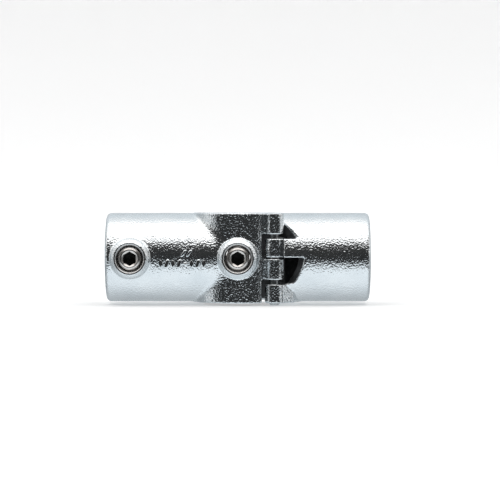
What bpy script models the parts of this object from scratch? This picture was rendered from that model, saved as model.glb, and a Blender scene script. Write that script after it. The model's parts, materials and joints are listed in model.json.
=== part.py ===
"""Hinged two-socket cross for 48.3 mm tube, modelled in metres with +Z up.

Two castings close round an upright tube (the saddle, along Z) and each carries a
socket for one horizontal tube (along X). Both come from one pattern: the rear
casting is the front one turned half a turn about Z. Their knuckles interleave at
two opposite corners, with a peened hinge pin in one and a loose closing pin in
the other. Four hexagon socket set screws grip the tubes.
"""
import math

import bmesh
import bpy
from mathutils import Matrix, Vector

# Tube and casting
TUBE_RADIUS = 0.02415
TUBE_CLEARANCE = 0.00075
WALL = 0.0062
BORE_RADIUS = TUBE_RADIUS + TUBE_CLEARANCE
BODY_RADIUS = BORE_RADIUS + WALL
SOCKET_END = 0.092
SOCKET_STOP = 0.033
THROAT_RADIUS = 0.0158
SLEEVE_EDGE = 0.0026
BORE_CHAMFER = 0.001

# Corner knuckles: the hinge corner, and the levels that each casting keeps there
CORNER = Vector((0.0254, -0.0229, 0.0))
SEAM_HALF_GAP = 0.0006
KNUCKLE_RADIUS = 0.00665
FINGER_TOP_LEVEL = 0.0166
FINGER_LOW_LEVEL = (-0.0149, -0.0003)
ROOT_TOP_LEVEL = (0.0007, 0.0136)
ROOT_LOW_LEVEL = -0.0181
FINGER_SHOULDER = 0.0166
POCKET_WALL = 0.0074
ROOT_WEB = ((-0.0254, 0.0229), (-0.0301, 0.0274), (-0.0342, 0.0252),
            (-0.0400, 0.0135), (-0.0430, 0.0040), (-0.0280, 0.0040), (-0.0210, 0.0145))

# Pins
PIN_RADIUS = 0.0029
PIN_HOLE_RADIUS = PIN_RADIUS + 0.0003
PIN_END = 0.0308
PIN_CHAMFER = 0.0005
PEEN_RADIUS = 0.0036
PEEN_TOP = -0.0314
PEEN_END = -0.0326
RELEASE_SLOT = 0.007

# Set screws and their bosses
BOSS_RADIUS = 0.0138
BOSS_FACE = 0.0355
BOSS_FACE_RADIUS = 0.0107
SOCKET_SCREW_X = -0.0745
SADDLE_SCREW_X = 0.0
SCREW_RADIUS = 0.0082
SCREW_HOLE_RADIUS = SCREW_RADIUS + 0.0004
COUNTERSINK_RADIUS = 0.0103
SCREW_HEAD = 0.0350
SCREW_POINT = 0.0243
SCREW_CHAMFER = 0.0008
KEY_ACROSS_FLATS = 0.0088
KEY_DEPTH = 0.006
CUP_RADIUS = 0.0045
CUP_DEPTH = 0.0015

BIG_SEGMENTS = 72
BOSS_SEGMENTS = 48
PIN_SEGMENTS = 32
EDGE_STEPS = 4
BEYOND = 0.02

TOWARDS_CORNER = CORNER.normalized()
ACROSS_SEAM = Vector((-TOWARDS_CORNER.y, TOWARDS_CORNER.x, 0.0))
HALF_TURN = Matrix.Rotation(math.pi, 4, "Z")
ALONG_MINUS_X = Matrix.Rotation(-math.pi / 2, 4, "Y")
ALONG_MINUS_Y = Matrix.Rotation(math.pi / 2, 4, "X")
SEAM_FRAME = Matrix.Rotation(math.atan2(CORNER.y, CORNER.x), 4, "Z")


def clear_scene():
    for item in list(bpy.data.objects):
        bpy.data.objects.remove(item, do_unlink=True)


def make_material(name, colour, roughness, metallic):
    material = bpy.data.materials.new(name)
    material.use_nodes = True
    shader = material.node_tree.nodes["Principled BSDF"]
    shader.inputs["Base Color"].default_value = (*colour, 1.0)
    shader.inputs["Roughness"].default_value = roughness
    shader.inputs["Metallic"].default_value = metallic
    return material


def mesh_object(name, bm, placement):
    """Turn a bmesh into an object whose mesh is already placed."""
    bmesh.ops.transform(bm, matrix=placement, verts=bm.verts)
    bmesh.ops.recalc_face_normals(bm, faces=bm.faces)
    mesh = bpy.data.meshes.new(name)
    bm.to_mesh(mesh)
    bm.free()
    mesh.shade_smooth()
    mesh.set_sharp_from_angle(angle=math.radians(30))
    item = bpy.data.objects.new(name, mesh)
    bpy.context.scene.collection.objects.link(item)
    return item


def turned(name, profile, segments, placement=Matrix()):
    """A solid of revolution about Z; the profile lists (radius, height), low end first."""
    bm = bmesh.new()
    rings = []
    for radius, height in profile:
        ring = []
        for step in range(segments):
            angle = math.tau * (step + 0.5) / segments
            ring.append(bm.verts.new((radius * math.cos(angle), radius * math.sin(angle), height)))
        rings.append(ring)
    for lower, upper in zip(rings, rings[1:]):
        for step in range(segments):
            following = (step + 1) % segments
            bm.faces.new((lower[step], lower[following], upper[following], upper[step]))
    bm.faces.new(reversed(rings[0]))
    bm.faces.new(rings[-1])
    return mesh_object(name, bm, placement)


def rod(name, radius, low, high, segments, placement=Matrix()):
    return turned(name, ((radius, low), (radius, high)), segments, placement)


def prism(name, outline, low, high, placement=Matrix()):
    """Extrude a closed outline of (x, y) points from one height to another."""
    bm = bmesh.new()
    base = bm.faces.new([bm.verts.new((x, y, low)) for x, y in outline])
    raised = bmesh.ops.extrude_face_region(bm, geom=[base])
    lifted = [part for part in raised["geom"] if isinstance(part, bmesh.types.BMVert)]
    bmesh.ops.translate(bm, vec=(0.0, 0.0, high - low), verts=lifted)
    return mesh_object(name, bm, placement)


def block(name, x_span, y_span, z_span, placement=Matrix()):
    outline = ((x_span[0], y_span[0]), (x_span[1], y_span[0]),
               (x_span[1], y_span[1]), (x_span[0], y_span[1]))
    return prism(name, outline, z_span[0], z_span[1], placement)


def combine(body, tool, operation):
    """Add or cut with a helper solid that stays hidden and moves with the body."""
    tool.parent = body
    tool.hide_render = True
    tool.display_type = "WIRE"
    modifier = body.modifiers.new(tool.name, "BOOLEAN")
    modifier.operation = operation
    modifier.object = tool


def add(body, tool):
    combine(body, tool, "UNION")


def cut(body, tool):
    combine(body, tool, "DIFFERENCE")


def rounded_end(radius, end, edge):
    """Profile points of a rounded outer edge at the high end of a turned solid."""
    points = []
    for step in range(EDGE_STEPS + 1):
        angle = 0.5 * math.pi * step / EDGE_STEPS
        points.append((radius - edge * (1.0 - math.cos(angle)), end - edge * (1.0 - math.sin(angle))))
    return points


def add_sleeve(body, label):
    profile = [(BODY_RADIUS, 0.0), *rounded_end(BODY_RADIUS, SOCKET_END, SLEEVE_EDGE)]
    add(body, turned(f"{label}_sleeve", profile, BIG_SEGMENTS, ALONG_MINUS_X))


def add_boss(body, label, along):
    cone_height = BOSS_RADIUS - BOSS_FACE_RADIUS
    profile = [(BOSS_RADIUS, 0.5 * BODY_RADIUS), (BOSS_RADIUS, BOSS_FACE - cone_height),
               (BOSS_FACE_RADIUS, BOSS_FACE)]
    place = Matrix.Translation((along, 0.0, 0.0)) @ ALONG_MINUS_Y
    add(body, turned(f"{label}_boss", profile, BOSS_SEGMENTS, place))


def cut_far_half(body, label):
    """Split the fitting along the plane through the upright's axis and both corners."""
    reach = SOCKET_END + BEYOND
    far_half = block(f"{label}_far_half", (-reach, reach), (-SEAM_HALF_GAP, reach),
                     (-reach, reach), SEAM_FRAME)
    cut(body, far_half)


def add_corner_barrels(body, label):
    """Full-height barrels on both corners; the levels of the other casting are cut next."""
    for end, side in (("finger", 1.0), ("root", -1.0)):
        place = Matrix.Translation(side * CORNER)
        add(body, rod(f"{label}_{end}_barrel", KNUCKLE_RADIUS, -BODY_RADIUS, BODY_RADIUS,
                      PIN_SEGMENTS, place))
    add(body, prism(f"{label}_root_web", ROOT_WEB, -BODY_RADIUS, 0.0))


def cut_finger_windows(body, label):
    """Between and below the fingers the shell stops at a straight shoulder."""
    reach = BODY_RADIUS + BEYOND
    levels = ((FINGER_LOW_LEVEL[1], FINGER_TOP_LEVEL), (-reach, FINGER_LOW_LEVEL[0]))
    for index, level in enumerate(levels):
        cut(body, block(f"{label}_finger_window_{index}", (FINGER_SHOULDER, reach),
                        (-reach, 0.0), level))


def cut_root_pockets(body, label):
    """Above and between the roots, pockets take the other casting's fingers."""
    reach = BODY_RADIUS + BEYOND
    levels = ((ROOT_TOP_LEVEL[1], reach), (ROOT_LOW_LEVEL, ROOT_TOP_LEVEL[0]))
    for index, level in enumerate(levels):
        cut(body, block(f"{label}_root_pocket_{index}", (-2.0 * reach, -0.5 * BORE_RADIUS),
                        (-POCKET_WALL, reach), level, SEAM_FRAME))


def cut_tube_bores(body, label):
    mouth = BODY_RADIUS + BORE_CHAMFER
    flare = BORE_RADIUS + 2.0 * BORE_CHAMFER
    saddle = ((flare, -mouth), (BORE_RADIUS, -BODY_RADIUS + BORE_CHAMFER),
              (BORE_RADIUS, BODY_RADIUS - BORE_CHAMFER), (flare, mouth))
    cut(body, turned(f"{label}_saddle_bore", saddle, BIG_SEGMENTS))
    socket = ((THROAT_RADIUS, 0.5 * BORE_RADIUS), (THROAT_RADIUS, SOCKET_STOP),
              (BORE_RADIUS, SOCKET_STOP), (BORE_RADIUS, SOCKET_END - BORE_CHAMFER),
              (flare, SOCKET_END + BORE_CHAMFER))
    cut(body, turned(f"{label}_socket_bore", socket, BIG_SEGMENTS, ALONG_MINUS_X))


def cut_screw_hole(body, label, along):
    countersink = COUNTERSINK_RADIUS - SCREW_HOLE_RADIUS
    profile = ((SCREW_HOLE_RADIUS, 0.5 * BORE_RADIUS), (SCREW_HOLE_RADIUS, BOSS_FACE - countersink),
               (COUNTERSINK_RADIUS, BOSS_FACE), (COUNTERSINK_RADIUS, BOSS_FACE + BEYOND))
    place = Matrix.Translation((along, 0.0, 0.0)) @ ALONG_MINUS_Y
    cut(body, turned(f"{label}_screw_hole", profile, BOSS_SEGMENTS, place))


def cut_pin_holes(body, label, released):
    """Both corners are drilled; released fingers are open towards the other casting."""
    reach = BODY_RADIUS + BEYOND
    for end, side in (("finger", 1.0), ("root", -1.0)):
        place = Matrix.Translation(side * CORNER)
        cut(body, rod(f"{label}_{end}_pin_hole", PIN_HOLE_RADIUS, -reach, reach, PIN_SEGMENTS, place))
    if released:
        place = Matrix.Translation(CORNER) @ SEAM_FRAME
        half = 0.5 * RELEASE_SLOT
        cut(body, block(f"{label}_release_slot", (-half, half), (0.0, 2.0 * KNUCKLE_RADIUS),
                        (-reach, reach), place))


def make_casting(name, material, released):
    body = rod(name, BODY_RADIUS, -BODY_RADIUS, BODY_RADIUS, BIG_SEGMENTS)
    add_sleeve(body, name)
    for label, along in (("socket", SOCKET_SCREW_X), ("saddle", SADDLE_SCREW_X)):
        add_boss(body, f"{name}_{label}", along)
    cut_far_half(body, name)
    add_corner_barrels(body, name)
    cut_finger_windows(body, name)
    cut_root_pockets(body, name)
    cut_tube_bores(body, name)
    for label, along in (("socket", SOCKET_SCREW_X), ("saddle", SADDLE_SCREW_X)):
        cut_screw_hole(body, f"{name}_{label}", along)
    cut_pin_holes(body, name, released)
    body.data.materials.append(material)
    return body


def make_set_screw(name, material, along):
    """A cup-point set screw whose origin is on its own axis, at the casting's centre plane."""
    profile = ((SCREW_RADIUS - 2.0 * SCREW_CHAMFER, SCREW_POINT),
               (SCREW_RADIUS, SCREW_POINT + 2.0 * SCREW_CHAMFER),
               (SCREW_RADIUS, SCREW_HEAD - SCREW_CHAMFER),
               (SCREW_RADIUS - SCREW_CHAMFER, SCREW_HEAD))
    screw = turned(name, profile, BOSS_SEGMENTS, ALONG_MINUS_Y)
    corner = 0.5 * KEY_ACROSS_FLATS / math.cos(math.pi / 6)
    hexagon = [(corner * math.sin(math.tau * side / 6), corner * math.cos(math.tau * side / 6))
               for side in range(6)]
    key = prism(f"{name}_key", hexagon, SCREW_HEAD - KEY_DEPTH, SCREW_HEAD + BEYOND, ALONG_MINUS_Y)
    cut(screw, key)
    cup = turned(f"{name}_cup", ((2.0 * CUP_RADIUS, SCREW_POINT - CUP_DEPTH),
                                 (0.1 * CUP_RADIUS, SCREW_POINT + 0.9 * CUP_DEPTH)),
                 PIN_SEGMENTS, ALONG_MINUS_Y)
    cut(screw, cup)
    screw.location.x = along
    screw.data.materials.append(material)
    return screw


def make_pin(name, material, peened):
    """A plain pin on its own axis; a peened one ends in a flattened head below."""
    low_end = [(PIN_RADIUS - PIN_CHAMFER, -PIN_END), (PIN_RADIUS, -PIN_END + PIN_CHAMFER)]
    if peened:
        low_end = [(0.7 * PEEN_RADIUS, PEEN_END), (PEEN_RADIUS, 0.5 * (PEEN_TOP + PEEN_END)),
                   (PEEN_RADIUS, PEEN_TOP), (PIN_RADIUS, PEEN_TOP)]
    profile = [*low_end, (PIN_RADIUS, PIN_END - PIN_CHAMFER), (PIN_RADIUS - PIN_CHAMFER, PIN_END)]
    pin = turned(name, profile, PIN_SEGMENTS)
    pin.data.materials.append(material)
    return pin


def make_fitting():
    zinc = make_material("cast_zinc", (0.78, 0.81, 0.83), 0.35, 0.9)
    steel = make_material("pin_steel", (0.55, 0.55, 0.54), 0.4, 1.0)
    nickel = make_material("screw_nickel", (0.66, 0.62, 0.58), 0.3, 1.0)

    front = make_casting("front_casting", zinc, released=False)
    hinge_axis = bpy.data.objects.new("hinge_axis", None)
    bpy.context.scene.collection.objects.link(hinge_axis)
    hinge_axis.location = CORNER
    rear = make_casting("rear_casting", zinc, released=True)
    rear.parent = hinge_axis
    rear.matrix_basis = Matrix.Translation(-CORNER) @ HALF_TURN

    hinge_pin = make_pin("hinge_pin", steel, peened=True)
    hinge_pin.location = CORNER
    closing_pin = make_pin("closing_pin", steel, peened=False)
    closing_pin.location = -CORNER
    for pin in (hinge_pin, closing_pin):
        pin.parent = front

    for half, side in ((front, "front"), (rear, "rear")):
        for label, along in (("socket", SOCKET_SCREW_X), ("saddle", SADDLE_SCREW_X)):
            screw = make_set_screw(f"{side}_{label}_screw", nickel, along)
            screw.parent = half


clear_scene()
make_fitting()
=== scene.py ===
"""Looks of the hinged two-socket cross: zinc-plated castings, pins and set screws.

The castings are modelled again as smooth signed-distance solids, in millimetres, so
that every corner has the soft fillet of a sand casting. Their main sizes come from
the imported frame. Turned and threaded parts are lathed. The stage is a pale studio.
"""
import json
import math

import bmesh
import bpy
import numpy as np
from mathutils import Matrix, Vector


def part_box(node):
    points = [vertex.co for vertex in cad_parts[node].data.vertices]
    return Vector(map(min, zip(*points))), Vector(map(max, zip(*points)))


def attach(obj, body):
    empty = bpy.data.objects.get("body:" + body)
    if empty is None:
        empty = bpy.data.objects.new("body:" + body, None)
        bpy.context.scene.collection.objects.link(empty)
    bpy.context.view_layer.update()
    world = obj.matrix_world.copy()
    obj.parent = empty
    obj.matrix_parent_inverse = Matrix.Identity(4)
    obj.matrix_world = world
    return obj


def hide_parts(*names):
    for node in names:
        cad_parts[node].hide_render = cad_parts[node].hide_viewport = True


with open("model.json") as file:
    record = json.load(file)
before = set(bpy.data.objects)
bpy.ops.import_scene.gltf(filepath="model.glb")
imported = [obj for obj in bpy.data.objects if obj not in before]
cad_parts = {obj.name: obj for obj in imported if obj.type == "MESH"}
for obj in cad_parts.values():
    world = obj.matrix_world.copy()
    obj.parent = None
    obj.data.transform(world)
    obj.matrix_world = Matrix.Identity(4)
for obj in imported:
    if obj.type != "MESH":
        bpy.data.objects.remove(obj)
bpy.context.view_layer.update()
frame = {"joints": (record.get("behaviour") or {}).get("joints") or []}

MM = 1000.0


def box_mm(node):
    low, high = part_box(node)
    return np.array(low) * MM, np.array(high) * MM


def joint(name):
    return next(item for item in frame["joints"] if item["name"] == name)


# Sizes read from the frame, in millimetres
CASTING_LOW, CASTING_HIGH = box_mm("front_casting")
BODY_RADIUS = float(CASTING_HIGH[2])
SOCKET_END = float(-CASTING_LOW[0])
BOSS_FACE = float(-CASTING_LOW[1])
CORNER_X, CORNER_Y = (MM * value for value in joint("casting_hinge")["pos_m"][:2])
SCREW_LOW, SCREW_HIGH = box_mm("front_socket_screw")
SOCKET_SCREW_X = float(SCREW_LOW[0] + SCREW_HIGH[0]) / 2
SCREW_HEAD = float(-SCREW_LOW[1])
SCREW_POINT = float(-SCREW_HIGH[1])
SCREW_RADIUS = float(SCREW_HIGH[2] - SCREW_LOW[2]) / 2
CLOSING_LOW, CLOSING_HIGH = box_mm("closing_pin")
PIN_RADIUS = float(CLOSING_HIGH[0] - CLOSING_LOW[0]) / 2
PIN_END = float(CLOSING_HIGH[2])
PEEN_END = float(box_mm("hinge_pin")[0][2])

# Sizes that no box gives, in millimetres, the same as the CAD's or close to them
WALL = 6.2
BORE_RADIUS = BODY_RADIUS - WALL
SOCKET_STOP = 33.0
THROAT_RADIUS = 15.8
SLEEVE_EDGE = 3.0
SEAM_HALF_GAP = 0.6
KNUCKLE_RADIUS = 6.65
FINGER_TOP_LEVEL = 16.6
FINGER_LOW_LEVEL = (-14.9, -0.3)
ROOT_TOP_LEVEL = (0.7, 13.6)
ROOT_LOW_LEVEL = -18.1
FINGER_SHOULDER = 16.6
POCKET_WALL = 7.4
PIN_HOLE_RADIUS = PIN_RADIUS + 0.3
RELEASE_SLOT = 7.0
BOSS_RADIUS = 13.8
BOSS_CONE_INNER = 10.7
SCREW_HOLE_RADIUS = SCREW_RADIUS + 0.4
COUNTERSINK_RADIUS = 10.3
KEY_ACROSS_FLATS = 8.8
KEY_DEPTH = 6.0
THREAD_PITCH = 1.34

# A level well below the casting, in millimetres
BELOW = -60.0

# Edge and fillet radii of the casting, in millimetres
RIM_EDGE = 0.5
PATTERN_FILLET = 2.6
BOSS_FILLET = 1.3
CONE_EDGE = 0.9
SEAM_EDGE = 0.8
BARREL_FILLET = 0.6
WEB_EDGE = 0.9
WEB_FILLET = 0.8
TONGUE_EDGE = 0.9
WINDOW_CORNER = 1.5
WINDOW_EDGE = 0.9
POCKET_CORNER = 1.3
UPPER_POCKET_EDGE = 0.8
LOWER_POCKET_EDGE = 0.6
SOCKET_EDGE = 0.6
THROAT_EDGE = 1.0
SCREW_HOLE_EDGE = 0.35
PIN_HOLE_EDGE = 0.3
SLOT_EDGE = 0.4

# Places and depths of the casting's smaller features, in millimetres; slopes are in mm per mm
SLEEVE_OVERLAP = 2.0
BOSS_ROOT = 10.0
WEB_FLANK = (-0.94, 0.34, -43.5)
WEB_FRONT = (-0.616, 0.788, -40.3)
WEB_BACK = 4.0
TONGUE_REACH = (31.7, 42.0)
TONGUE_BACK = 12.0
TONGUE_OVERLAP = 0.5
WINDOW_FRONT = 2.0
POCKET_DRAFT = 0.16
POCKET_DRAFT_REACH = 9.0
LOWER_WALL_START = 46.1
LOWER_WALL_LEAN = 0.69
LOWER_WALL_SKEW = 0.17
LOWER_WALL_LEVEL = 1.2
BORE_FLARE = 1.0
SOCKET_FLARE = 1.2
LINER_ROOM = 0.9
COUNTERSINK_DEPTH = 1.7
COUNTERSINK_SLOPE = 0.6
MOULD_WAVE_HEIGHT = 0.02
MOULD_WAVE_LENGTH = 24.0
MACHINED_DEPTH = 2.0
MACHINED_FADE = 1.5

# Where the painted shade of bores and pockets begins: this far below the pattern's skin, and this far from
# other faces
PAINTED_SHADE_DEPTH = 1.1
PAINTED_SHADE_FROM_BARREL = 0.4
PAINTED_SHADE_FROM_MOUTH = 1.6
PAINTED_SHADE_FROM_FACE = 0.6

# Turned parts: the key's corner radius, the screw's thread height and the smoothing angle in degrees
KEY_CORNER = 0.5 * KEY_ACROSS_FLATS / math.cos(math.pi / 6)
SCREW_THREAD_HEIGHT = 0.72
SCREW_SHARP_ANGLE = 28.0

GRID_STEP = 0.6
GRID_MARGIN = 1.5
CORNER_REACH = math.hypot(CORNER_X, CORNER_Y)
OUT_X, OUT_Y = CORNER_X / CORNER_REACH, CORNER_Y / CORNER_REACH
ACROSS_X, ACROSS_Y = -OUT_Y, OUT_X


# Signed-distance shapes: each takes arrays in millimetres, and is negative inside

def round_union(a, b, radius):
    blend = np.clip(radius - np.abs(a - b), 0.0, None)
    return np.minimum(a, b) - blend * blend / (4.0 * radius)


def round_cut(a, tool, radius):
    return -round_union(-a, tool, radius)


def round_box(offsets, edge):
    """Distance to a box with rounded edges, from each axis's distance past its face."""
    inner = [offset + edge for offset in offsets]
    outside = np.sqrt(sum(np.clip(value, 0.0, None) ** 2 for value in inner))
    return outside + np.minimum(np.maximum.reduce(inner), 0.0) - edge


def drum(radial, along, radius, low, high, edge):
    """A cylinder with rounded rims; radial and along are its own coordinates."""
    half = 0.5 * (high - low)
    return round_box([radial - radius, np.abs(along - 0.5 * (high + low)) - half], edge)


def between(value, low, high):
    return np.abs(value - 0.5 * (low + high)) - 0.5 * (high - low)


def waves(x, y, z, length, seed, count=14):
    """A smooth random field of about unit height, for the unevenness of a sand mould."""
    rng = np.random.default_rng(seed)
    total = np.zeros_like(x)
    for _ in range(count):
        direction = rng.normal(size=3)
        direction *= math.tau / length / np.linalg.norm(direction) * rng.uniform(0.6, 1.5)
        phase = rng.uniform(0.0, math.tau)
        total += np.sin(direction[0] * x + direction[1] * y + direction[2] * z + phase)
    return total / math.sqrt(count)


def outer_body(x, y, z):
    """Saddle, sleeve and the two screw bosses, blended as one pattern."""
    radial_saddle = np.hypot(x, y)
    radial_sleeve = np.hypot(y, z)
    saddle = drum(radial_saddle, z, BODY_RADIUS, -BODY_RADIUS, BODY_RADIUS, RIM_EDGE)
    sleeve = drum(radial_sleeve, x, BODY_RADIUS, -SOCKET_END, SLEEVE_OVERLAP, SLEEVE_EDGE)
    body = round_union(saddle, sleeve, PATTERN_FILLET)
    for centre in (SOCKET_SCREW_X, 0.0):
        around = np.hypot(x - centre, z)
        boss = drum(around, -y, BOSS_RADIUS, BOSS_ROOT, BOSS_FACE, RIM_EDGE)
        cone = (around - BOSS_CONE_INNER - BOSS_FACE - y) * math.sqrt(0.5)
        body = round_union(body, round_cut(boss, -cone, CONE_EDGE), BOSS_FILLET)
    return body


def root_web(x, y):
    """Thick web between the lower root barrel and the sleeve, in plan."""
    flank = WEB_FLANK[0] * x + WEB_FLANK[1] * y + WEB_FLANK[2]
    front = WEB_FRONT[0] * x + WEB_FRONT[1] * y + WEB_FRONT[2]
    behind = WEB_BACK - y
    seam = x * ACROSS_X + y * ACROSS_Y + SEAM_HALF_GAP
    return np.maximum.reduce([flank, front, behind, seam])


def root_tongue(x, y, z):
    """The sleeve's wall carried on as far as the upper root barrel."""
    level = between(z, ROOT_TOP_LEVEL[0] - TONGUE_OVERLAP, ROOT_TOP_LEVEL[1] + TONGUE_OVERLAP)
    wall = np.maximum(np.hypot(y, z) - BODY_RADIUS, TONGUE_BACK - y)
    return round_box([wall, between(-x, *TONGUE_REACH), level], TONGUE_EDGE)


def barrel(radial, slab):
    """A knuckle's barrel over the full height, with rounded ends."""
    return round_box([radial - KNUCKLE_RADIUS, slab], RIM_EDGE)


def outer_skin(x, y, z):
    """The whole pattern before anything is cut out of it."""
    slab = np.abs(z) - BODY_RADIUS
    barrels = [barrel(np.hypot(x - side * CORNER_X, y - side * CORNER_Y), slab) for side in (1.0, -1.0)]
    return np.minimum.reduce([outer_body(x, y, z), *barrels, root_tongue(x, y, z)])


def casting_distance(x, y, z, released):
    """One casting of the pattern; released opens its finger rings, as on the rear casting."""
    across = x * ACROSS_X + y * ACROSS_Y
    outward = x * OUT_X + y * OUT_Y
    body = outer_body(x, y, z)
    body = round_cut(body, -(across + SEAM_HALF_GAP), SEAM_EDGE)

    finger = np.hypot(x - CORNER_X, y - CORNER_Y)
    root = np.hypot(x + CORNER_X, y + CORNER_Y)
    slab = np.abs(z) - BODY_RADIUS
    web = round_box([root_web(x, y), slab, z], WEB_EDGE)
    body = round_union(body, barrel(finger, slab), BARREL_FILLET)
    body = round_union(body, root_tongue(x, y, z), BARREL_FILLET)
    body = round_union(body, round_union(barrel(root, slab), web, WEB_FILLET), WEB_FILLET)
    body = np.maximum(body, slab)

    beside = FINGER_SHOULDER - x
    front_side = y + WINDOW_FRONT
    for low, high in ((FINGER_LOW_LEVEL[1], FINGER_TOP_LEVEL), (BELOW, FINGER_LOW_LEVEL[0])):
        window = round_box([beside, front_side, between(z, low, high)], WINDOW_CORNER)
        body = round_cut(body, window, WINDOW_EDGE)
    draft = POCKET_DRAFT * np.clip(-x - CORNER_X - KNUCKLE_RADIUS, 0.0, POCKET_DRAFT_REACH)
    root_side = outward + 0.5 * BORE_RADIUS
    upper_wall = -(across + POCKET_WALL)
    lower_wall = -x - LOWER_WALL_START + LOWER_WALL_LEAN * (BODY_RADIUS - y)
    lower_wall = lower_wall - LOWER_WALL_SKEW * (z + LOWER_WALL_LEVEL)
    lower_wall = lower_wall / math.hypot(1.0, LOWER_WALL_LEAN, LOWER_WALL_SKEW)
    ceiling = z - ROOT_TOP_LEVEL[0]
    upper = round_box([upper_wall, root_side, ROOT_TOP_LEVEL[1] - z], POCKET_CORNER)
    lower = round_box([lower_wall, root_side, ceiling, ROOT_LOW_LEVEL - z + draft], POCKET_CORNER)
    body = round_cut(round_cut(body, upper, UPPER_POCKET_EDGE), lower, LOWER_POCKET_EDGE)

    flare = np.clip(np.abs(z) - BODY_RADIUS + BORE_FLARE, 0.0, None)
    body = round_cut(body, np.hypot(x, y) - BORE_RADIUS - flare, RIM_EDGE)
    radial = np.hypot(y, z)
    flare = np.clip(-x - SOCKET_END + SOCKET_FLARE, 0.0, None)
    socket = np.maximum(radial - BORE_RADIUS - flare, x + SOCKET_STOP)
    body = round_cut(body, socket, SOCKET_EDGE)
    throat = np.maximum(radial - THROAT_RADIUS, x + 0.5 * BORE_RADIUS)
    body = round_cut(body, throat, THROAT_EDGE)

    for centre in (SOCKET_SCREW_X, 0.0):
        around = np.hypot(x - centre, z)
        opening = COUNTERSINK_SLOPE * np.clip(-y - BOSS_FACE + COUNTERSINK_DEPTH, 0.0, None)
        hole = np.maximum(around - SCREW_HOLE_RADIUS - LINER_ROOM - opening, y + 0.5 * BORE_RADIUS)
        body = round_cut(body, hole, SCREW_HOLE_EDGE)
    for around in (finger, root):
        body = round_cut(body, around - PIN_HOLE_RADIUS, PIN_HOLE_EDGE)
    if released:
        sideways = (x - CORNER_X) * OUT_X + (y - CORNER_Y) * OUT_Y
        slot = np.maximum.reduce([np.abs(sideways) - 0.5 * RELEASE_SLOT, -across,
                                  finger - 2.0 * KNUCKLE_RADIUS])
        body = round_cut(body, slot, SLOT_EDGE)
    return body


def full_casting(x, y, z, released, seed):
    """The casting with the sand mould's unevenness, which fades out at the machined boss faces."""
    body = casting_distance(x, y, z, released)
    rough = MOULD_WAVE_HEIGHT * waves(x, y, z, MOULD_WAVE_LENGTH, seed)
    as_cast = np.clip((BOSS_FACE - MACHINED_DEPTH + y) / MACHINED_FADE, 0.0, 1.0)
    return body + rough * as_cast


def surface_nets(distance, low, high, step):
    """Mesh the zero surface of a distance function with one vertex per crossed cell."""
    axes = [np.arange(a, b + step, step) for a, b in zip(low, high)]
    grid = np.meshgrid(*axes, indexing="ij")
    field = distance(*grid)
    solid = field < 0.0
    shape = np.array(field.shape) - 1
    total = np.zeros((*shape, 3))
    count = np.zeros(tuple(shape))
    quads = []
    crossings = []
    for axis in range(3):
        here = [slice(None)] * 3
        there = [slice(None)] * 3
        here[axis] = slice(0, -1)
        there[axis] = slice(1, None)
        near, far = field[tuple(here)], field[tuple(there)]
        crossed = (near < 0.0) != (far < 0.0)
        where = np.argwhere(crossed)
        start, end = near[crossed], far[crossed]
        place = where.astype(float)
        place[:, axis] += start / (start - end)
        crossings.append((axis, where, start < 0.0))
        others = [other for other in range(3) if other != axis]
        for shift_a in (0, -1):
            for shift_b in (0, -1):
                cell = where.copy()
                cell[:, others[0]] += shift_a
                cell[:, others[1]] += shift_b
                valid = np.all((cell >= 0) & (cell < shape), axis=1)
                index = tuple(cell[valid].T)
                np.add.at(total, index, place[valid])
                np.add.at(count, index, 1.0)
    used = count > 0
    number = np.full(tuple(shape), -1)
    number[used] = np.arange(used.sum())
    points = total[used] / count[used][:, None] * step + np.array([axis[0] for axis in axes])
    for axis, where, leaving in crossings:
        first, second = [(axis + 1) % 3, (axis + 2) % 3]
        corners = []
        for shift_a, shift_b in ((0, 0), (-1, 0), (-1, -1), (0, -1)):
            cell = where.copy()
            cell[:, first] += shift_a
            cell[:, second] += shift_b
            corners.append(number[tuple(cell.T)])
        quad = np.stack(corners, axis=1)
        quad[~leaving] = quad[~leaving][:, ::-1]
        quads.append(quad)
    return points, np.concatenate(quads)


def settle(points, distance, step, passes=3):
    """Move vertices along the gradient until they lie on the surface itself."""
    reach = 0.15 * step
    for _ in range(passes):
        x, y, z = points.T
        value = distance(x, y, z)
        slope = np.stack([
            distance(x + reach, y, z) - distance(x - reach, y, z),
            distance(x, y + reach, z) - distance(x, y - reach, z),
            distance(x, y, z + reach) - distance(x, y, z - reach)], axis=1) / (2.0 * reach)
        length = np.clip(np.linalg.norm(slope, axis=1), 0.3, None)
        move = np.clip(value / length, -0.4 * step, 0.4 * step)
        points = points - slope / length[:, None] * move[:, None] * 0.8
    return points


def mesh_from(name, points, faces):
    mesh = bpy.data.meshes.new(name)
    mesh.from_pydata((points / MM).tolist(), [], faces.tolist())
    mesh.validate()
    mesh.shade_smooth()
    item = bpy.data.objects.new(name, mesh)
    bpy.context.scene.collection.objects.link(item)
    return item


def paint_shade_inside(casting, centres):
    """Faces deep in the bores and pockets get the second material, whose near-black colour is painted
    shade.
    """
    x, y, z = centres.T
    # Painted shade: faces this deep in the bores and pockets are marked for the near-black material
    inside = outer_skin(x, y, z) < -PAINTED_SHADE_DEPTH
    inside &= np.abs(np.hypot(x + CORNER_X, y + CORNER_Y) - KNUCKLE_RADIUS) > PAINTED_SHADE_FROM_BARREL
    inside &= -x < SOCKET_END - PAINTED_SHADE_FROM_MOUTH
    inside &= np.abs(z) < BODY_RADIUS - PAINTED_SHADE_FROM_FACE
    casting.data.polygons.foreach_set("material_index", inside.astype(np.int32))


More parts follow.
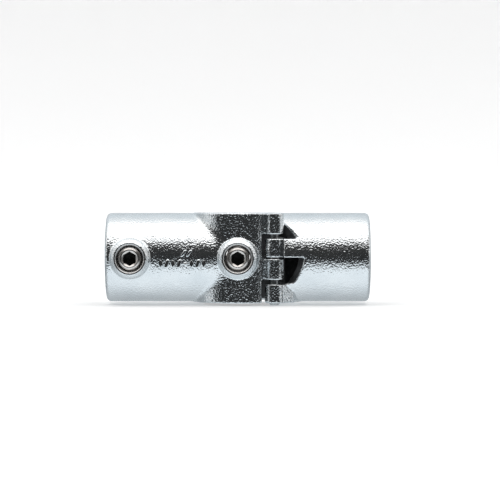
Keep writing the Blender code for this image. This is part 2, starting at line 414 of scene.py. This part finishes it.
def make_casting(name, node, body, is_rear, seed):
    """Mesh one casting; the rear one is turned half a turn and has the released knuckles."""
    def distance(x, y, z):
        return full_casting(x, y, z, is_rear, seed)

    low = np.array([-SOCKET_END, -BOSS_FACE, -BODY_RADIUS]) - GRID_MARGIN
    high = np.array([CORNER_X + KNUCKLE_RADIUS, BODY_RADIUS, BODY_RADIUS]) + GRID_MARGIN
    points, faces = surface_nets(distance, low, high, GRID_STEP)
    points = settle(points, distance, GRID_STEP)
    points[:, 1] = np.maximum(points[:, 1], -BOSS_FACE)
    points[:, 2] = np.clip(points[:, 2], -BODY_RADIUS, BODY_RADIUS)
    points[:, 0] = np.maximum(points[:, 0], -SOCKET_END)
    centres = points[faces].mean(axis=1)
    if is_rear:
        points[:, :2] *= -1.0
    casting = mesh_from(name, points, faces)
    casting.data.materials.append(zinc_casting_skin)
    # The second material is painted shade for the bores and pockets
    casting.data.materials.append(bore_painted_shade)
    paint_shade_inside(casting, centres)
    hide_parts(node)
    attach(casting, body)


# Turned parts

def lathe(profile, segments, closed=False):
    """Vertices and faces of a turned profile of (radius, depth) along -Y, in millimetres."""
    bm = bmesh.new()
    rings = []
    for radius, depth in profile:
        ring = []
        for step in range(segments):
            angle = math.tau * step / segments
            ring.append(bm.verts.new((radius * math.cos(angle), -depth, radius * math.sin(angle))))
        rings.append(ring)
    pairs = list(zip(rings, rings[1:]))
    if closed:
        pairs.append((rings[-1], rings[0]))
    for lower, upper in pairs:
        for step in range(segments):
            following = (step + 1) % segments
            bm.faces.new((lower[step], lower[following], upper[following], upper[step]))
    if not closed:
        bm.faces.new(reversed(rings[0]))
        bm.faces.new(rings[-1])
    bmesh.ops.recalc_face_normals(bm, faces=bm.faces)
    return bm


def place_bmesh(name, bm, matrix, angle=35.0):
    bmesh.ops.transform(bm, matrix=matrix @ Matrix.Scale(1.0 / MM, 4), verts=bm.verts)
    bmesh.ops.recalc_face_normals(bm, faces=bm.faces)
    mesh = bpy.data.meshes.new(name)
    bm.to_mesh(mesh)
    bm.free()
    mesh.shade_smooth()
    mesh.set_sharp_from_angle(angle=math.radians(angle))
    item = bpy.data.objects.new(name, mesh)
    bpy.context.scene.collection.objects.link(item)
    return item


def thread_profile(radius, low, high, pitch, height, inward):
    """Rings of a fine vee thread between two depths, as (radius, depth) points."""
    turns = max(1, round((high - low) / pitch))
    points = []
    for turn in range(turns):
        base = low + (high - low) * turn / turns
        step = (high - low) / turns
        sign = -1.0 if inward else 1.0
        points += [(radius, base + 0.12 * step), (radius + sign * height, base + 0.42 * step),
                   (radius + sign * height, base + 0.58 * step), (radius, base + 0.88 * step)]
    return points


def make_thread_ring(name, body, matrix):
    """The tapped thread that lines a boss, opening out in three worn turns at the face."""
    bed = COUNTERSINK_RADIUS + 0.7
    face = BOSS_FACE - 0.02
    bottom = BORE_RADIUS + 1.3
    root, crest = SCREW_HOLE_RADIUS + 0.75, SCREW_HOLE_RADIUS + 0.1
    profile = [(bed, bottom), (root, bottom + 0.05)]
    profile += thread_profile(root, bottom + 0.1, face - 3.4, THREAD_PITCH, root - crest, True)
    for turn in range(3):
        depth = face - 3.3 + 1.05 * turn
        spread = 0.42 * turn
        profile += [(crest + spread, depth), (crest + spread + 0.1, depth + 0.3),
                    (root + spread, depth + 0.75)]
    profile += [(COUNTERSINK_RADIUS - 0.25, face - 0.1), (COUNTERSINK_RADIUS, face)]
    profile += [(bed, face)]
    bm = lathe(profile, 96, closed=True)
    ring = place_bmesh(name, bm, matrix, angle=25.0)
    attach(ring, body)
    return ring


def make_set_screw(name, node, body, matrix):
    """A hexagon socket set screw with a domed, chamfered end and a cup point."""
    chamfer = 1.7
    root = SCREW_RADIUS - 0.75
    profile = [(0.6, SCREW_POINT + 1.6), (3.6, SCREW_POINT + 0.25), (4.3, SCREW_POINT),
               (5.0, SCREW_POINT + 0.1), (SCREW_RADIUS - 0.9, SCREW_POINT + 1.7)]
    profile += thread_profile(root, SCREW_POINT + 1.8, SCREW_HEAD - chamfer, THREAD_PITCH,
                              SCREW_THREAD_HEIGHT, False)
    profile += [(SCREW_RADIUS - 0.05, SCREW_HEAD - chamfer + 0.1), (SCREW_RADIUS - 0.12, SCREW_HEAD - 1.3),
                (SCREW_RADIUS - 0.3, SCREW_HEAD - 1.12), (SCREW_RADIUS - 1.8, SCREW_HEAD - 0.03),
                (SCREW_RADIUS - 1.95, SCREW_HEAD)]
    bm = lathe(profile, 120)
    screw = place_bmesh(name, bm, matrix, angle=SCREW_SHARP_ANGLE)
    cut_key(screw, name, matrix)
    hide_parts(node)
    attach(screw, body)
    return screw


def cut_key(screw, name, matrix):
    """Cut the hexagon socket and the shallow cone that leads into it."""
    bm = bmesh.new()
    turns = [math.tau * side / 6 for side in range(6)]
    levels = (SCREW_HEAD - KEY_DEPTH, SCREW_HEAD + 3.0)
    rings = [[bm.verts.new((KEY_CORNER * math.sin(turn), -depth, KEY_CORNER * math.cos(turn)))
              for turn in turns] for depth in levels]
    tip = bm.verts.new((0.0, -(SCREW_HEAD - KEY_DEPTH - 1.6), 0.0))
    for side in range(6):
        following = (side + 1) % 6
        bm.faces.new((rings[0][side], rings[0][following], rings[1][following], rings[1][side]))
        bm.faces.new((rings[0][following], rings[0][side], tip))
    bm.faces.new(rings[1])
    hexagon = place_bmesh(f"{name}_key_tool", bm, matrix)
    cone = [(0.2, SCREW_HEAD - 3.4), (KEY_CORNER, SCREW_HEAD - 0.42),
            (KEY_CORNER + 0.6, SCREW_HEAD - 0.02), (KEY_CORNER + 0.65, SCREW_HEAD + 0.6)]
    lead_in = place_bmesh(f"{name}_lead_tool", lathe(cone, 96), matrix)
    for tool in (hexagon, lead_in):
        modifier = screw.modifiers.new("cut", "BOOLEAN")
        modifier.operation = "DIFFERENCE"
        modifier.object = tool
    depsgraph = bpy.context.evaluated_depsgraph_get()
    cut_mesh = bpy.data.meshes.new_from_object(screw.evaluated_get(depsgraph))
    screw.modifiers.clear()
    screw.data = cut_mesh
    screw.data.shade_smooth()
    screw.data.set_sharp_from_angle(angle=math.radians(SCREW_SHARP_ANGLE))
    for tool in (hexagon, lead_in):
        bpy.data.objects.remove(tool, do_unlink=True)


def paint_socket_shade(screw, matrix):
    """Turned metal outside, and painted shade, near black, inside the hexagon."""
    screw.data.materials.clear()
    screw.data.materials.append(nickel)
    screw.data.materials.append(socket_painted_shade)
    to_screw = matrix.inverted()
    for face in screw.data.polygons:
        x, y, z = (MM * value for value in to_screw @ face.center)
        # Faces inside the hexagon get the painted shade
        inside = math.hypot(x, z) < KEY_CORNER and SCREW_POINT + 2.0 < -y < SCREW_HEAD - 1.3
        face.material_index = 1 if inside else 0


# A mark's rings, as inset and rise; the first, with no rise, is rooted in the wall
MARK_RINGS = ((0.0, None), (0.0, 0.0), (0.2, 0.4), (0.45, 0.75), (0.72, 0.98), (0.9, 1.03))
MARK_ROOT = 0.7
ROW_START, ROW_PITCH, ROW_LEVEL = -53.2, 4.25, -3.6
PAIR_PLACES, PAIR_LEVEL = (-37.4, -33.6), 3.6


def raised_mark(bm, along, height, outline):
    """One raised foundry mark on the sleeve's front: a flat-faced solid rooted in the wall."""
    face = BODY_RADIUS * math.cos(height / BODY_RADIUS)
    rows = []
    for inset, rise in MARK_RINGS:
        row = []
        for u, v in outline:
            shrink = 1.0 - inset / max(math.hypot(u, v), 0.9)
            z = height + shrink * v
            wall = math.sqrt(BODY_RADIUS ** 2 - z * z)
            depth = wall - MARK_ROOT if rise is None else face + rise
            row.append(bm.verts.new((along + shrink * u, -depth, z)))
        rows.append(row)
    for lower, upper in zip(rows, rows[1:]):
        for index in range(len(outline)):
            following = (index + 1) % len(outline)
            bm.faces.new((lower[index], lower[following], upper[following], upper[index]))
    bm.faces.new(reversed(rows[0]))
    bm.faces.new(rows[-1])


def pill(half_width, half_height, lean=0.0, corner_steps=6):
    """Outline of an upright or lying bar with round ends."""
    radius = min(half_width, half_height)
    points = []
    for step in range(4 * corner_steps):
        angle = math.tau * (step + 0.5) / (4 * corner_steps)
        u, v = math.cos(angle), math.sin(angle)
        upward = math.copysign(half_height - radius, v) + radius * v
        points.append((math.copysign(half_width - radius, u) + radius * u + lean * upward, upward))
    return points


def make_foundry_marks():
    """A plain row of raised bars and lozenges under two leaning bars."""
    bm = bmesh.new()
    bar, dash = pill(1.5, 3.3, 0.25), pill(1.7, 1.2)
    quarters = [math.tau * side / 4 for side in range(4)]
    lozenge = [(2.2 * math.cos(turn), 3.4 * math.sin(turn)) for turn in quarters]
    for index, outline in enumerate((lozenge, bar, lozenge, bar, dash, lozenge, bar, lozenge)):
        raised_mark(bm, ROW_START + ROW_PITCH * index, ROW_LEVEL, outline)
    for along in PAIR_PLACES:
        raised_mark(bm, along, PAIR_LEVEL, pill(1.3, 2.6, 0.6))
    marks = place_bmesh("front_casting_marks", bm, FRONT, angle=60.0)
    marks.data.materials.append(worn_skin)
    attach(marks, "front_half")


def make_pin(name, node, body, centre, peened):
    """A drawn steel pin; the hinge pin's lower end is hammered into a lopsided head."""
    upright = Matrix.Translation(Vector(centre)) @ Matrix.Rotation(-math.pi / 2, 4, "X")
    lower = [(PIN_RADIUS - 0.9, -PIN_END), (PIN_RADIUS - 0.35, -PIN_END + 0.12),
             (PIN_RADIUS, -PIN_END + 0.6)]
    if peened:
        head = PEEN_END
        lower = [(1.2, head), (2.5, head + 0.08), (3.25, head + 0.35), (3.6, head + 0.75),
                 (3.45, head + 1.1), (PIN_RADIUS + 0.05, head + 1.25), (PIN_RADIUS, head + 1.6)]
    upper = [(PIN_RADIUS, PIN_END - 0.6), (PIN_RADIUS - 0.35, PIN_END - 0.12),
             (PIN_RADIUS - 0.9, PIN_END)]
    middle = [(PIN_RADIUS, depth) for depth in np.linspace(-PIN_END + 3.0, PIN_END - 3.0, 24)]
    bm = lathe([*lower, *middle, *upper], 64)
    for vertex in bm.verts:
        x, depth, z = vertex.co
        if peened and -depth < PEEN_END + 1.2:
            around = math.atan2(z, x)
            lump = 1.0 + 0.05 * math.sin(2.0 * around + 0.6) + 0.03 * math.sin(5.0 * around)
            vertex.co.x *= min(lump, 1.0)
            vertex.co.z *= min(lump, 1.0)
    pin = place_bmesh(name, bm, upright, angle=40.0)
    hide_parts(node)
    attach(pin, body)
    return pin


# Materials

class Nodes:
    """Small helper that adds and links shader nodes in one material."""

    def __init__(self, name, metallic):
        self.material = bpy.data.materials.new(name)
        self.material.use_nodes = True
        self.tree = self.material.node_tree
        self.shader = self.tree.nodes["Principled BSDF"]
        self.shader.inputs["Metallic"].default_value = metallic
        self.coordinates = self.add("ShaderNodeTexCoord")

    def add(self, kind, **settings):
        node = self.tree.nodes.new(kind)
        for key, value in settings.items():
            if key in node.inputs:
                node.inputs[key].default_value = value
            else:
                setattr(node, key, value)
        return node

    def link(self, source, target):
        self.tree.links.new(source, target)

    def noise(self, scale, detail=2.0, roughness=0.5):
        node = self.add("ShaderNodeTexNoise", Scale=scale, Detail=detail, Roughness=roughness)
        self.link(self.coordinates.outputs["Object"], node.inputs["Vector"])
        return node.outputs["Fac"]

    def ramp(self, source, stops):
        node = self.add("ShaderNodeValToRGB")
        elements = node.color_ramp.elements
        while len(elements) < len(stops):
            elements.new(0.5)
        for element, (position, colour) in zip(elements, stops):
            element.position = position
            element.color = (*colour, 1.0)
        self.link(source, node.inputs["Fac"])
        return node.outputs["Color"]

    def spread(self, source, low, high):
        node = self.add("ShaderNodeMapRange")
        node.inputs["To Min"].default_value = low
        node.inputs["To Max"].default_value = high
        node.inputs["From Min"].default_value = 0.3
        node.inputs["From Max"].default_value = 0.7
        self.link(source, node.inputs["Value"])
        return node.outputs["Result"]

    def tint(self, scale, detail, dark, light, reach=0.2):
        """Mottle the base colour between two shades, by a noise of this scale."""
        stops = [(0.5 - reach, dark), (0.5 + reach, light)]
        self.link(self.ramp(self.noise(scale, detail), stops), self.shader.inputs["Base Color"])

    def gloss(self, scale, detail, low, high):
        """Vary the roughness between two values."""
        self.link(self.spread(self.noise(scale, detail), low, high), self.shader.inputs["Roughness"])

    def bump(self, height, distance, below=None):
        node = self.add("ShaderNodeBump", Strength=1.0, Distance=distance)
        self.link(height, node.inputs["Height"])
        if below is not None:
            self.link(below, node.inputs["Normal"])
        return node.outputs["Normal"]


def zinc_casting():
    """Bright zinc over sand-cast iron: a fine pebbled grain under a glossy skin."""
    nodes = Nodes("cast_zinc_bright", metallic=1.0)
    nodes.tint(60.0, 3.0, (0.80, 0.83, 0.845), (0.90, 0.92, 0.925))
    nodes.gloss(260.0, 3.0, 0.13, 0.22)
    pebbles = nodes.bump(nodes.noise(900.0, 1.0, 0.35), 0.00032)
    lumps = nodes.bump(nodes.noise(210.0, 2.0, 0.5), 0.00005, below=pebbles)
    nodes.link(lumps, nodes.shader.inputs["Normal"])
    return nodes.material


def worn_zinc():
    """Raised marks, rubbed smoother than the skin around them."""
    nodes = Nodes("worn_zinc_smooth", metallic=1.0)
    nodes.tint(60.0, 3.0, (0.82, 0.85, 0.86), (0.92, 0.94, 0.945))
    nodes.gloss(300.0, 2.0, 0.1, 0.18)
    return nodes.material


def bore_zinc():
    """Rough, thin plating inside the bores and pockets, with a near-black colour that is painted shade."""
    nodes = Nodes("bore_zinc_painted_shade", metallic=0.6)
    # Painted shade: this near-black base colour stands in for the shade deep in the bores and pockets
    nodes.tint(140.0, 4.0, (0.045, 0.047, 0.05), (0.11, 0.115, 0.12))
    nodes.shader.inputs["Roughness"].default_value = 0.55
    pebbles = nodes.bump(nodes.noise(700.0, 2.0), 0.0003)
    nodes.link(pebbles, nodes.shader.inputs["Normal"])
    return nodes.material


def socket_shadow():
    """Painted shade: a near-black colour inside the hexagon sockets, standing in for their shadow."""
    nodes = Nodes("hexagon_shade_painted_black", metallic=0.0)
    # Painted shade: near-black base colour for the inside of the hexagon socket
    nodes.tint(500.0, 3.0, (0.004, 0.004, 0.004), (0.012, 0.012, 0.012))
    nodes.shader.inputs["Roughness"].default_value = 0.6
    nodes.shader.inputs["Specular IOR Level"].default_value = 0.15
    return nodes.material


def tapped_zinc():
    """The cut threads, where the bare metal shows through worn plating."""
    nodes = Nodes("tapped_zinc", metallic=1.0)
    nodes.tint(900.0, 3.0, (0.60, 0.59, 0.58), (0.82, 0.81, 0.80), reach=0.15)
    nodes.gloss(700.0, 2.0, 0.2, 0.36)
    return nodes.material


def screw_metal():
    """Warm, finely turned nickel plate on the set screws."""
    nodes = Nodes("screw_nickel_turned", metallic=1.0)
    nodes.tint(400.0, 3.0, (0.72, 0.67, 0.63), (0.84, 0.80, 0.765))
    nodes.gloss(1500.0, 2.0, 0.22, 0.34)
    nodes.link(nodes.bump(nodes.noise(2600.0, 2.0), 0.00001), nodes.shader.inputs["Normal"])
    return nodes.material


def pin_metal():
    """Drawn steel bar, a little scuffed."""
    nodes = Nodes("pin_steel_drawn", metallic=1.0)
    nodes.tint(300.0, 3.0, (0.55, 0.56, 0.56), (0.74, 0.75, 0.75))
    nodes.gloss(900.0, 2.0, 0.25, 0.42)
    nodes.link(nodes.bump(nodes.noise(500.0, 2.0), 0.00006), nodes.shader.inputs["Normal"])
    return nodes.material


# Stage: how far the dark room behind the camera reaches, in degrees to each side and up and
# down, then the studio's light as a ring over the object. Each stop has its angle in degrees,
# 0 towards the camera, 90 overhead, 180 behind the object and negative below it, then its
# level and its colour

ROOM_SIDES = (-68.0, 70.0)
ROOM_HEIGHTS = (-20.0, 41.0)
ROOM_LIGHT = 0.036
RING_PEAK = 1.5
BACKDROP_LIGHT = 0.95
WHITE = (1.0, 1.0, 1.0)
COOL = (0.88, 0.95, 1.0)
SIDE_DIMMING = 0.62
ROOM_SOFTNESS = (9.0, 3.0)
SIDE_FADE = (0.5, 0.95)
STUDIO_RING = ((-180.0, 0.6, COOL), (-134.0, 0.5, COOL), (-104.0, 0.68, COOL), (-88.0, 0.82, COOL),
               (-75.0, 0.95, COOL), (-20.0, 1.05, COOL), (35.0, 1.5, WHITE), (94.0, 1.5, WHITE),
               (105.0, 1.05, WHITE), (126.0, 0.84, COOL), (156.0, 0.76, COOL), (180.0, 0.6, COOL))

# The floor and its curve up into the backdrop, in metres, with its colour and faint glow
FLOOR_GAP = 0.0004
FLOOR_FRONT, FLOOR_BACK = -1.2, 0.9
FLOOR_HALF_WIDTH = 3.0
FLOOR_BEND = 0.5
BEND_STEPS = 16
BACKDROP_HEIGHT = 2.6
FLOOR_GREY = 0.95
FLOOR_GLOW = 0.27

# The camera: a long lens, slightly above the object's middle, in millimetres, metres and degrees
CAMERA_LENS = 153.4
CAMERA_DISTANCE = 1.5
CAMERA_PITCH = 1.7
CAMERA_AIM = (0.00845, 0.0, 0.005)


def make_floor(level):
    """A pale floor that curves up into a backdrop behind the object."""
    bm = bmesh.new()
    profile = [(FLOOR_FRONT, 0.0), (FLOOR_BACK, 0.0)]
    for step in range(1, BEND_STEPS + 1):
        angle = 0.5 * math.pi * step / BEND_STEPS
        profile.append((FLOOR_BACK + FLOOR_BEND * math.sin(angle), FLOOR_BEND * (1.0 - math.cos(angle))))
    profile.append((FLOOR_BACK + FLOOR_BEND, BACKDROP_HEIGHT))
    rows = [[bm.verts.new((x, y, z + level)) for x in (-FLOOR_HALF_WIDTH, FLOOR_HALF_WIDTH)]
            for y, z in profile]
    for lower, upper in zip(rows, rows[1:]):
        bm.faces.new((lower[0], lower[1], upper[1], upper[0]))
    mesh = bpy.data.meshes.new("floor")
    bm.to_mesh(mesh)
    bm.free()
    mesh.shade_smooth()
    floor = bpy.data.objects.new("floor", mesh)
    bpy.context.scene.collection.objects.link(floor)
    material = bpy.data.materials.new("floor_pale")
    material.use_nodes = True
    shader = material.node_tree.nodes["Principled BSDF"]
    shader.inputs["Base Color"].default_value = (FLOOR_GREY, FLOOR_GREY, FLOOR_GREY, 1.0)
    shader.inputs["Emission Color"].default_value = (*WHITE, 1.0)
    shader.inputs["Emission Strength"].default_value = FLOOR_GLOW
    shader.inputs["Roughness"].default_value = 0.8
    mesh.materials.append(material)
    floor.visible_glossy = False


def make_camera():
    camera = bpy.data.cameras.new("camera")
    camera.lens = CAMERA_LENS
    camera.sensor_width = 36.0
    camera.clip_start = 0.05
    camera.clip_end = 20.0
    item = bpy.data.objects.new("camera", camera)
    pitch = math.radians(CAMERA_PITCH)
    back = CAMERA_DISTANCE * Vector((0.0, -math.cos(pitch), math.sin(pitch)))
    item.location = Vector(CAMERA_AIM) + back
    item.rotation_euler = (math.pi / 2 - pitch, 0.0, 0.0)
    bpy.context.scene.collection.objects.link(item)
    bpy.context.scene.camera = item


def make_studio():
    """A white studio all round, with the dark room behind the camera as the one dark patch."""
    world = bpy.data.worlds.new("studio")
    world.use_nodes = True
    tree = world.node_tree
    background = tree.nodes["Background"]

    def link(source, target):
        tree.links.new(source, target)

    def math_node(operation, *values):
        node = tree.nodes.new("ShaderNodeMath")
        node.operation = operation
        for socket, value in zip(node.inputs, values):
            if isinstance(value, (int, float)):
                socket.default_value = value
            else:
                link(value, socket)
        return node.outputs[0]

    def step(value, low, high, start=0.0, end=1.0):
        node = tree.nodes.new("ShaderNodeMapRange")
        node.interpolation_type = "SMOOTHSTEP"
        for name, number in (("From Min", low), ("From Max", high), ("To Min", start), ("To Max", end)):
            node.inputs[name].default_value = number
        link(value, node.inputs["Value"])
        return node.outputs["Result"]

    coordinates = tree.nodes.new("ShaderNodeTexCoord")
    split = tree.nodes.new("ShaderNodeSeparateXYZ")
    link(coordinates.outputs["Generated"], split.inputs[0])
    x, y, height = split.outputs
    side = math_node("ARCTAN2", x, math_node("MULTIPLY", y, -1.0))
    raised = math_node("ARCSINE", height)

    def window(value, low, high, soft):
        enter = step(value, math.radians(low - soft), math.radians(low + soft))
        leave = step(value, math.radians(high - soft), math.radians(high + soft), 1.0, 0.0)
        return math_node("MULTIPLY", enter, leave)

    room = math_node("MULTIPLY", window(side, *ROOM_SIDES, ROOM_SOFTNESS[0]),
                     window(raised, *ROOM_HEIGHTS, ROOM_SOFTNESS[1]))
    turn = step(math_node("ARCTAN2", height, math_node("MULTIPLY", y, -1.0)), -math.pi, math.pi)
    turn.node.interpolation_type = "LINEAR"
    ramp = tree.nodes.new("ShaderNodeValToRGB")
    elements = ramp.color_ramp.elements
    while len(elements) < len(STUDIO_RING):
        elements.new(0.5)
    for element, (degrees, level, colour) in zip(elements, STUDIO_RING):
        element.position = (degrees + 180.0) / 360.0
        element.color = (*(level / RING_PEAK * channel for channel in colour), 1.0)
    link(turn, ramp.inputs["Fac"])
    link(ramp.outputs["Color"], background.inputs["Color"])
    sideways = step(math_node("ABSOLUTE", x), *SIDE_FADE, RING_PEAK, SIDE_DIMMING * RING_PEAK)
    strength = step(room, 0.0, 1.0, RING_PEAK, ROOM_LIGHT)
    link(sideways, strength.node.inputs["To Min"])
    link(strength, background.inputs["Strength"])

    backdrop = tree.nodes.new("ShaderNodeBackground")
    backdrop.inputs["Color"].default_value = (*WHITE, 1.0)
    backdrop.inputs["Strength"].default_value = BACKDROP_LIGHT
    seen = tree.nodes.new("ShaderNodeLightPath")
    either = tree.nodes.new("ShaderNodeMixShader")
    link(seen.outputs["Is Camera Ray"], either.inputs["Fac"])
    link(background.outputs[0], either.inputs[1])
    link(backdrop.outputs[0], either.inputs[2])
    link(either.outputs[0], tree.nodes["World Output"].inputs["Surface"])
    bpy.context.scene.world = world


FRONT = Matrix.Identity(4)
REAR = Matrix.Rotation(math.pi, 4, "Z")
zinc_casting_skin = zinc_casting()
worn_skin = worn_zinc()
bore_painted_shade = bore_zinc()
socket_painted_shade = socket_shadow()
tapped = tapped_zinc()
nickel = screw_metal()
steel = pin_metal()

for side, turn, seed in (("front", FRONT, 3), ("rear", REAR, 8)):
    half_body = f"{side}_half"
    make_casting(f"{side}_casting_surface", f"{side}_casting", half_body, side == "rear", seed)
    for label, along in (("socket", SOCKET_SCREW_X), ("saddle", 0.0)):
        place = turn @ Matrix.Translation((along / MM, 0.0, 0.0))
        screw_name = f"{side}_{label}_screw"
        thread = make_thread_ring(f"{side}_{label}_thread", half_body, place)
        thread.data.materials.append(tapped)
        screw = make_set_screw(f"{screw_name}_turned", screw_name, f"{screw_name}_body", place)
        paint_socket_shade(screw, place)

make_foundry_marks()
corner = (CORNER_X / MM, CORNER_Y / MM, 0.0)
hinge_pin = make_pin("hinge_pin_peened", "hinge_pin", "front_half", corner, True)
closing_pin = make_pin("closing_pin_plain", "closing_pin", "closing_pin_body",
                       (-corner[0], -corner[1], 0.0), False)
for pin in (hinge_pin, closing_pin):
    pin.data.materials.append(steel)

bpy.context.scene.view_settings.view_transform = "Standard"
make_floor(PEEN_END / MM - FLOOR_GAP)
make_studio()
make_camera()
